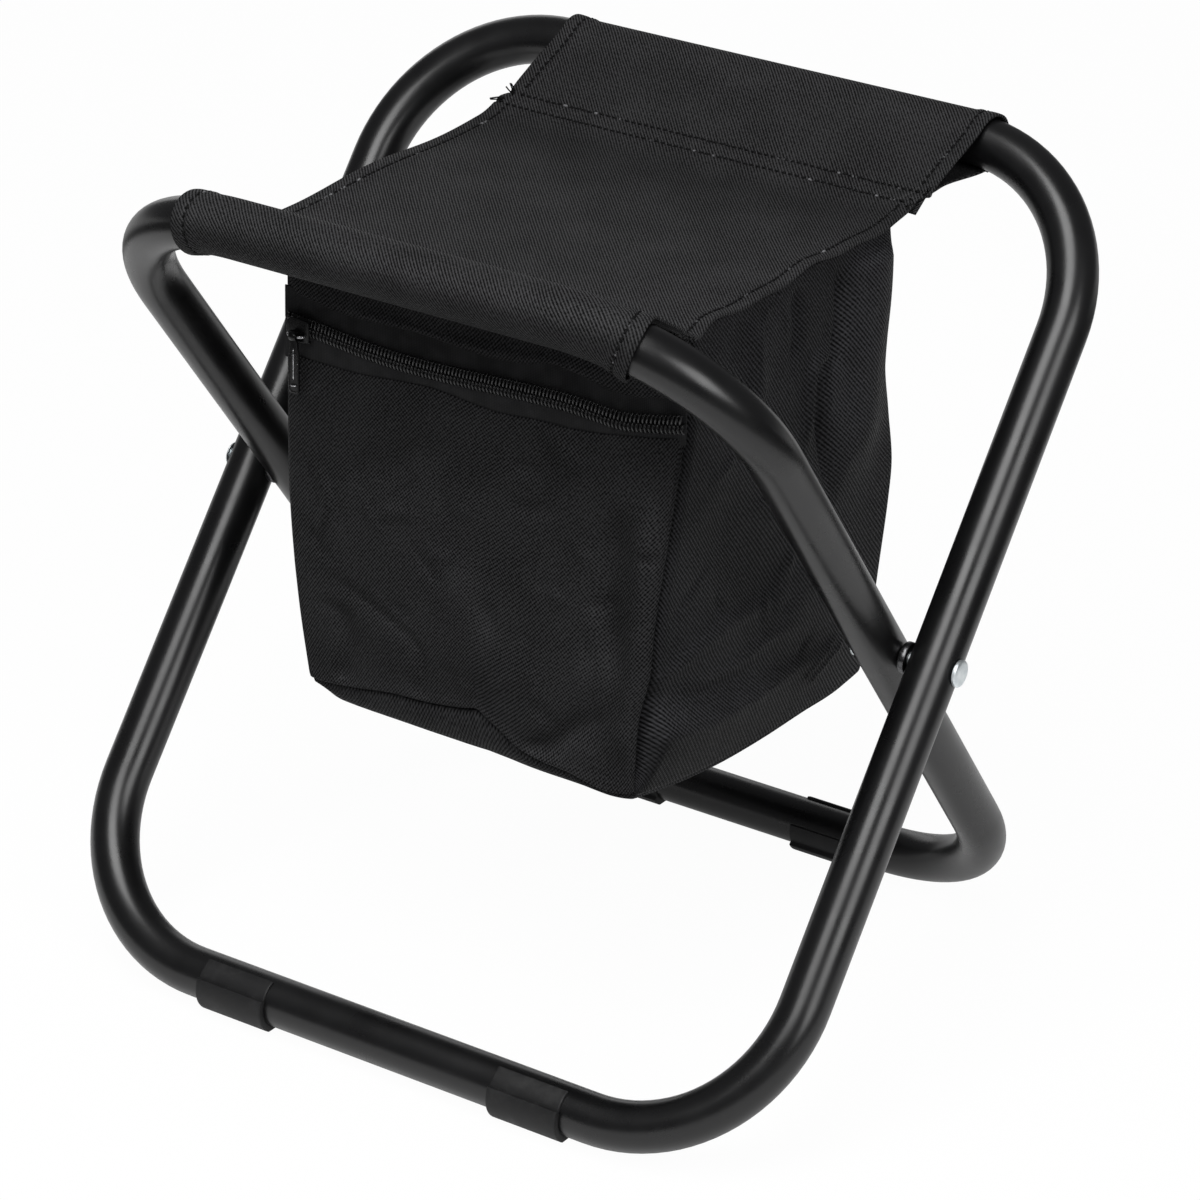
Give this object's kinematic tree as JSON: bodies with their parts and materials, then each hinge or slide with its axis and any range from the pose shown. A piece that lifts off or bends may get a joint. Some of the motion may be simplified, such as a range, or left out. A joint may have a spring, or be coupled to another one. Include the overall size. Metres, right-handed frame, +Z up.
{
  "type": "folding cooler stool",
  "caption": "Low folding stool of two crossed bent-tube loops riveted at the legs, with a cloth seat slung between the top bars and a zipped insulated bag hanging under it.",
  "frame": {"origin": "on the floor, under the middle of the pivot line", "axes": "+Z up, +X along the seat bars to the right as seen from the front, -Y to the front, where the zip is"},
  "size_m": [0.3372, 0.27, 0.335],
  "materials": {
    "frame_paint": "satin black powder coat",
    "zinc": "bright zinc plating",
    "dark_steel": "dark plated steel",
    "foot_plastic": "matt moulded black plastic",
    "cloth": "black coated polyester oxford cloth",
    "lining": "foil-faced foam",
    "zip_nylon": "black nylon coil",
    "zip_metal": "black painted die-cast metal, worn bright at the edges"
  },
  "bodies": {
    "outer_frame": {"outer_frame_tube": "frame_paint", "outer_frame_joiner": "dark_steel", "pivot_rivet_left": "zinc", "pivot_rivet_right": "zinc", "pivot_spacer_left": "dark_steel", "pivot_spacer_right": "dark_steel", "foot_front_left": "foot_plastic", "foot_front_right": "foot_plastic", "seat_rear_sleeve": "cloth"},
    "inner_frame": {"inner_frame_tube": "frame_paint", "inner_frame_joiner": "dark_steel", "foot_rear_left": "foot_plastic", "foot_rear_right": "foot_plastic", "seat_front_sleeve": "cloth"},
    "bag": {"seat_panel": "cloth", "bag_left": "cloth", "bag_right": "cloth", "bag_bottom": "cloth", "lining_left": "lining", "lining_right": "lining", "lining_bottom": "lining", "lining_top": "lining"},
    "bag_front_wall": {"bag_front": "cloth", "bag_front_strip": "cloth", "lining_front": "lining", "zip_tape_upper": "cloth", "zip_tape_lower": "cloth", "zip_teeth_upper": "zip_nylon", "zip_teeth_lower": "zip_nylon"},
    "bag_back_wall": {"bag_back": "cloth", "lining_back": "lining"},
    "slider": {"zip_slider": "zip_metal"},
    "pull": {"zip_pull": "zip_metal"}
  },
  "joints": [
    {"name": "frame_fold", "type": "hinge", "parent": "outer_frame", "child": "inner_frame", "pos_m": [0, 0, 0.16804], "axis": [-1, 0, 0], "range_deg": [0, 67], "deforming": ["seat_panel", "bag_left", "bag_right", "bag_bottom", "lining_left", "lining_right", "lining_bottom", "lining_top"]},
    {"name": "bag_follow", "type": "hinge", "parent": "outer_frame", "child": "bag", "pos_m": [0, 0, 0.16804], "axis": [-1, 0, 0], "range_deg": [0, 33.5]},
    {"name": "front_wall_close", "type": "slide", "parent": "bag", "child": "bag_front_wall", "axis": [0, 1, 0], "range_m": [0, 0.0667]},
    {"name": "back_wall_close", "type": "slide", "parent": "bag", "child": "bag_back_wall", "axis": [0, -1, 0], "range_m": [0, 0.0667]},
    {"name": "zip_slide", "type": "slide", "parent": "bag_front_wall", "child": "slider", "axis": [1, 0, 0], "range_m": [0, 0.158], "deforming": ["zip_teeth_upper", "zip_teeth_lower"]},
    {"name": "pull_swing", "type": "hinge", "parent": "slider", "child": "pull", "pos_m": [-0.07939, -0.07805, 0.26657], "axis": [-1, 0, 0], "range_deg": [0, 170]}
  ],
  "couplings": [
    {"joint": "bag_follow", "follows": "frame_fold", "ratio": 0.5},
    {"joint": "front_wall_close", "follows": "frame_fold", "m_per_rad": 0.05687},
    {"joint": "back_wall_close", "follows": "frame_fold", "m_per_rad": 0.05687}
  ]
}
